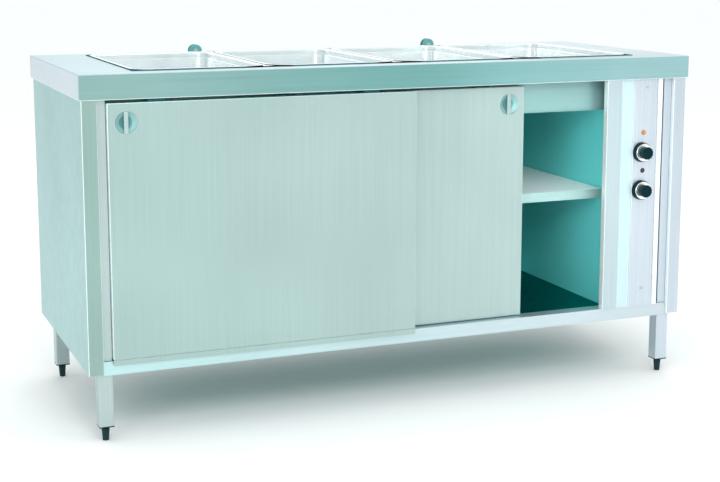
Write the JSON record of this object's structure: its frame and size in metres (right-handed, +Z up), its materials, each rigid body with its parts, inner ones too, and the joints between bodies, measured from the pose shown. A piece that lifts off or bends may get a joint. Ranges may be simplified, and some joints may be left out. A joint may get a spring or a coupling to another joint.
{
  "type": "bain marie hot cupboard",
  "caption": "Free-standing stainless steel hot cupboard with a water bath for lift-out containers in its worktop, sliding doors, heated shelf space and thermostat knobs.",
  "frame": {"origin": "on the floor under the middle of the worktop", "axes": "+X to the right along the worktop as seen from the front, +Y to the back, +Z up"},
  "size_m": [1.6, 0.698, 0.8725],
  "materials": {
    "satin_stainless_steel": "satin brushed sheet, 1.5 mm",
    "leg_tube_steel": "satin brushed square tube",
    "bright_stainless_steel": "bright drawn stainless steel",
    "inner_stainless_steel": "plain mill finish",
    "frame_steel": "plain mill finish",
    "plain_steel": "plain",
    "brass": "cast",
    "lever_red": "dipped",
    "element_sheath": "heat-tinted sheath",
    "mineral_wool": "pressed wool slab",
    "black_polymer": "moulded",
    "knob_black": "moulded",
    "ring_silver": "spun and polished",
    "pale_polymer": "moulded",
    "amber_lens": "clear tinted",
    "red_lens": "clear tinted"
  },
  "bodies": {
    "cabinet": {"counter_top": "satin_stainless_steel", "bath_tank": "bright_stainless_steel", "pan_divider_bars": "bright_stainless_steel", "bath_heating_element": "element_sheath", "bath_insulation": "mineral_wool", "bath_housing": "inner_stainless_steel", "drain_fitting": "plain_steel", "drain_pipe": "plain_steel", "drain_valve": "brass", "left_side_panel": "satin_stainless_steel", "right_side_panel": "satin_stainless_steel", "back_panel": "satin_stainless_steel", "cupboard_floor": "inner_stainless_steel", "left_liner": "inner_stainless_steel", "right_partition": "inner_stainless_steel", "back_liner": "inner_stainless_steel", "front_bottom_rail": "satin_stainless_steel", "lower_frame_rails": "frame_steel", "top_frame_rails": "frame_steel", "front_legs": "leg_tube_steel", "rear_legs": "leg_tube_steel", "leg_end_caps": "black_polymer", "door_track": "frame_steel", "door_guide": "pale_polymer", "right_jamb": "satin_stainless_steel", "filler_strips": "satin_stainless_steel", "control_panel": "satin_stainless_steel", "panel_screws": "plain_steel", "thermostats": "pale_polymer", "amber_lamp": "amber_lens", "red_lamp": "red_lens", "terminal_block": "pale_polymer", "cable_gland": "black_polymer", "shelf": "inner_stainless_steel", "shelf_brackets": "inner_stainless_steel", "cupboard_element": "element_sheath", "element_guard": "inner_stainless_steel", "tray_slide_lugs": "frame_steel", "lug_bolts": "plain_steel"},
    "left_sliding_door": {"left_door": "satin_stainless_steel", "left_door_inner": "inner_stainless_steel", "left_door_pull": "bright_stainless_steel", "left_door_hangers": "frame_steel"},
    "right_sliding_door": {"right_door": "satin_stainless_steel", "right_door_inner": "inner_stainless_steel", "right_door_pull": "bright_stainless_steel", "right_door_hangers": "frame_steel"},
    "upper_knob_set": {"upper_knob": "knob_black", "upper_knob_ring": "ring_silver"},
    "lower_knob_set": {"lower_knob": "knob_black", "lower_knob_ring": "ring_silver"},
    "container_1": {"pan_1": "bright_stainless_steel"},
    "container_2": {"pan_2": "bright_stainless_steel"},
    "container_3": {"pan_3": "bright_stainless_steel"},
    "container_4": {"pan_4": "bright_stainless_steel"},
    "front_left_foot_set": {"front_left_foot": "black_polymer"},
    "front_right_foot_set": {"front_right_foot": "black_polymer"},
    "rear_left_foot_set": {"rear_left_foot": "black_polymer"},
    "rear_right_foot_set": {"rear_right_foot": "black_polymer"},
    "drain_lever_set": {"drain_lever": "lever_red"}
  },
  "joints": [
    {"name": "left_door_slide", "type": "slide", "parent": "cabinet", "child": "left_sliding_door", "axis": [1, 0, 0], "range_m": [0, 0.538]},
    {"name": "right_door_slide", "type": "slide", "parent": "cabinet", "child": "right_sliding_door", "axis": [1, 0, 0], "range_m": [-0.309, 0.247]},
    {"name": "upper_knob_turn", "type": "hinge", "parent": "cabinet", "child": "upper_knob_set", "pos_m": [0.667, -0.317, 0.606], "axis": [0, 1, 0], "range_deg": [0, 270]},
    {"name": "lower_knob_turn", "type": "hinge", "parent": "cabinet", "child": "lower_knob_set", "pos_m": [0.667, -0.317, 0.506], "axis": [0, 1, 0], "range_deg": [0, 270]},
    {"name": "pan_1_lift", "type": "slide", "parent": "cabinet", "child": "container_1", "axis": [0, 0, 1], "range_m": [0, 0.25]},
    {"name": "pan_2_lift", "type": "slide", "parent": "cabinet", "child": "container_2", "axis": [0, 0, 1], "range_m": [0, 0.25]},
    {"name": "pan_3_lift", "type": "slide", "parent": "cabinet", "child": "container_3", "axis": [0, 0, 1], "range_m": [0, 0.25]},
    {"name": "pan_4_lift", "type": "slide", "parent": "cabinet", "child": "container_4", "axis": [0, 0, 1], "range_m": [0, 0.25]},
    {"name": "front_left_foot_screw", "type": "slide", "parent": "cabinet", "child": "front_left_foot_set", "axis": [0, 0, 1], "range_m": [-0.02, 0]},
    {"name": "front_right_foot_screw", "type": "slide", "parent": "cabinet", "child": "front_right_foot_set", "axis": [0, 0, 1], "range_m": [-0.02, 0]},
    {"name": "rear_left_foot_screw", "type": "slide", "parent": "cabinet", "child": "rear_left_foot_set", "axis": [0, 0, 1], "range_m": [-0.02, 0]},
    {"name": "rear_right_foot_screw", "type": "slide", "parent": "cabinet", "child": "rear_right_foot_set", "axis": [0, 0, 1], "range_m": [-0.02, 0]},
    {"name": "drain_lever_turn", "type": "hinge", "parent": "cabinet", "child": "drain_lever_set", "pos_m": [0.634, 0.227, 0.3], "axis": [0, 1, 0], "range_deg": [0, 90]}
  ]
}
